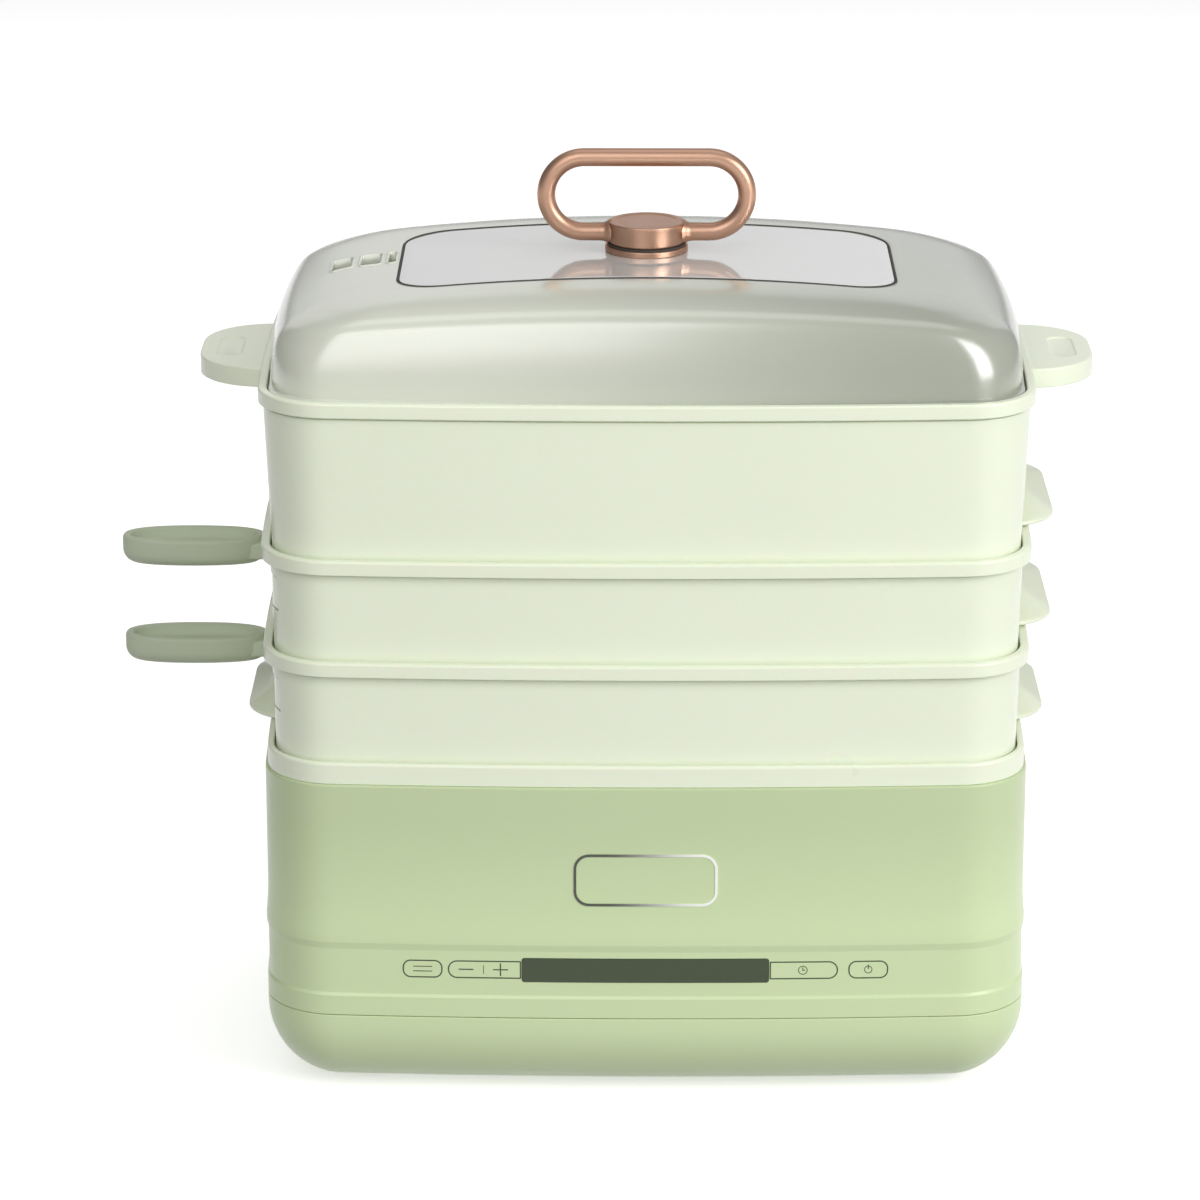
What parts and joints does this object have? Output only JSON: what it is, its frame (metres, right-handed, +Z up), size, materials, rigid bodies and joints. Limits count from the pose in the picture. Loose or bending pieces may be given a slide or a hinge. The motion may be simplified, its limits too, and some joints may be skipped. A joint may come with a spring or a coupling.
{
  "type": "rice noodle roll steamer",
  "caption": "Tall electric steamer: green heated base with touch strip, stacked cream tiers, steel drawer trays with side handles, domed lid with window and copper loop.",
  "frame": {"origin": "middle of the footprint, handles and ears included, at the feet's underside", "axes": "+Z up; -Y is the front with the touch strip; -X is the side the drawer handles are on"},
  "size_m": [0.4328, 0.2168, 0.4096],
  "materials": {
    "sage_gloss": "smooth semi-gloss moulded plastic, sage green",
    "sage_satin": "satin printed film in the housing's green",
    "cream_gloss": "smooth gloss moulded plastic, pale cream",
    "handle_sage": "satin moulded plastic, grey-green",
    "lid_smoke": "polished translucent plastic, smoke grey",
    "window_glass": "polished clear panel",
    "smoked_glass": "dark smoked display lens",
    "rose_copper": "satin rose-copper plating",
    "steel": "brushed stainless sheet",
    "zinc_steel": "zinc-plated steel",
    "dull_steel": "heat-dulled steel sheath",
    "cast_aluminium": "cast, as it left the die",
    "brass": "nickel-bright brass",
    "rubber": "matt soft rubber",
    "silicone": "matt silicone",
    "dark_plastic": "matt flame-retardant plastic",
    "circuit_board": "lacquered fibreglass board"
  },
  "bodies": {
    "base": {"main_shell": "sage_gloss", "bottom_shell": "sage_gloss", "foot_front_left": "rubber", "foot_front_right": "rubber", "foot_back_left": "rubber", "foot_back_right": "rubber", "housing_screws": "zinc_steel", "collar": "cream_gloss", "water_basin": "steel", "basin_gasket": "silicone", "heating_plate": "cast_aluminium", "heating_element": "dull_steel", "temperature_sensor": "dull_steel", "thermal_cutout": "dark_plastic", "power_board": "circuit_board", "relay": "dark_plastic", "transformer": "dark_plastic", "capacitor": "dark_plastic", "terminal_block": "dark_plastic", "board_screws": "zinc_steel", "control_film": "sage_satin", "display_lens": "smoked_glass", "display_module": "dark_plastic", "control_board": "circuit_board", "touch_springs": "zinc_steel", "control_board_screws": "zinc_steel", "power_inlet": "dark_plastic", "inlet_pins": "brass"},
    "tier_3": {"tier_3_frame": "cream_gloss"},
    "tier_2": {"tier_2_frame": "cream_gloss"},
    "tier_1": {"tier_1_frame": "cream_gloss"},
    "grate": {"grate": "cream_gloss"},
    "lid": {"lid_shell": "lid_smoke", "window_panel": "window_glass", "knob_base_ring": "rose_copper", "knob_gasket": "silicone", "knob": "rose_copper", "lid_loop": "rose_copper", "lid_washer": "zinc_steel", "lid_screw": "zinc_steel"},
    "upper_pan": {"upper_pan_tray": "steel", "upper_pan_shutter": "cream_gloss", "upper_pan_handle": "handle_sage", "upper_pan_bracket": "steel", "upper_pan_screws": "zinc_steel"},
    "lower_pan": {"lower_pan_tray": "steel", "lower_pan_shutter": "cream_gloss", "lower_pan_handle": "handle_sage", "lower_pan_bracket": "steel", "lower_pan_screws": "zinc_steel"}
  },
  "joints": [
    {"name": "tier_3_lift", "type": "slide", "parent": "base", "child": "tier_3", "axis": [0, 0, 1], "range_m": [0, 0.12]},
    {"name": "tier_2_lift", "type": "slide", "parent": "tier_3", "child": "tier_2", "axis": [0, 0, 1], "range_m": [0, 0.12]},
    {"name": "tier_1_lift", "type": "slide", "parent": "tier_2", "child": "tier_1", "axis": [0, 0, 1], "range_m": [0, 0.12]},
    {"name": "lid_lift", "type": "slide", "parent": "tier_1", "child": "lid", "axis": [0, 0, 1], "range_m": [0, 0.12]},
    {"name": "grate_lift", "type": "slide", "parent": "tier_1", "child": "grate", "axis": [0, 0, 1], "range_m": [0, 0.045]},
    {"name": "upper_pan_slide", "type": "slide", "parent": "tier_2", "child": "upper_pan", "axis": [-1, 0, 0], "range_m": [0, 0.25]},
    {"name": "lower_pan_slide", "type": "slide", "parent": "tier_3", "child": "lower_pan", "axis": [-1, 0, 0], "range_m": [0, 0.25]}
  ]
}
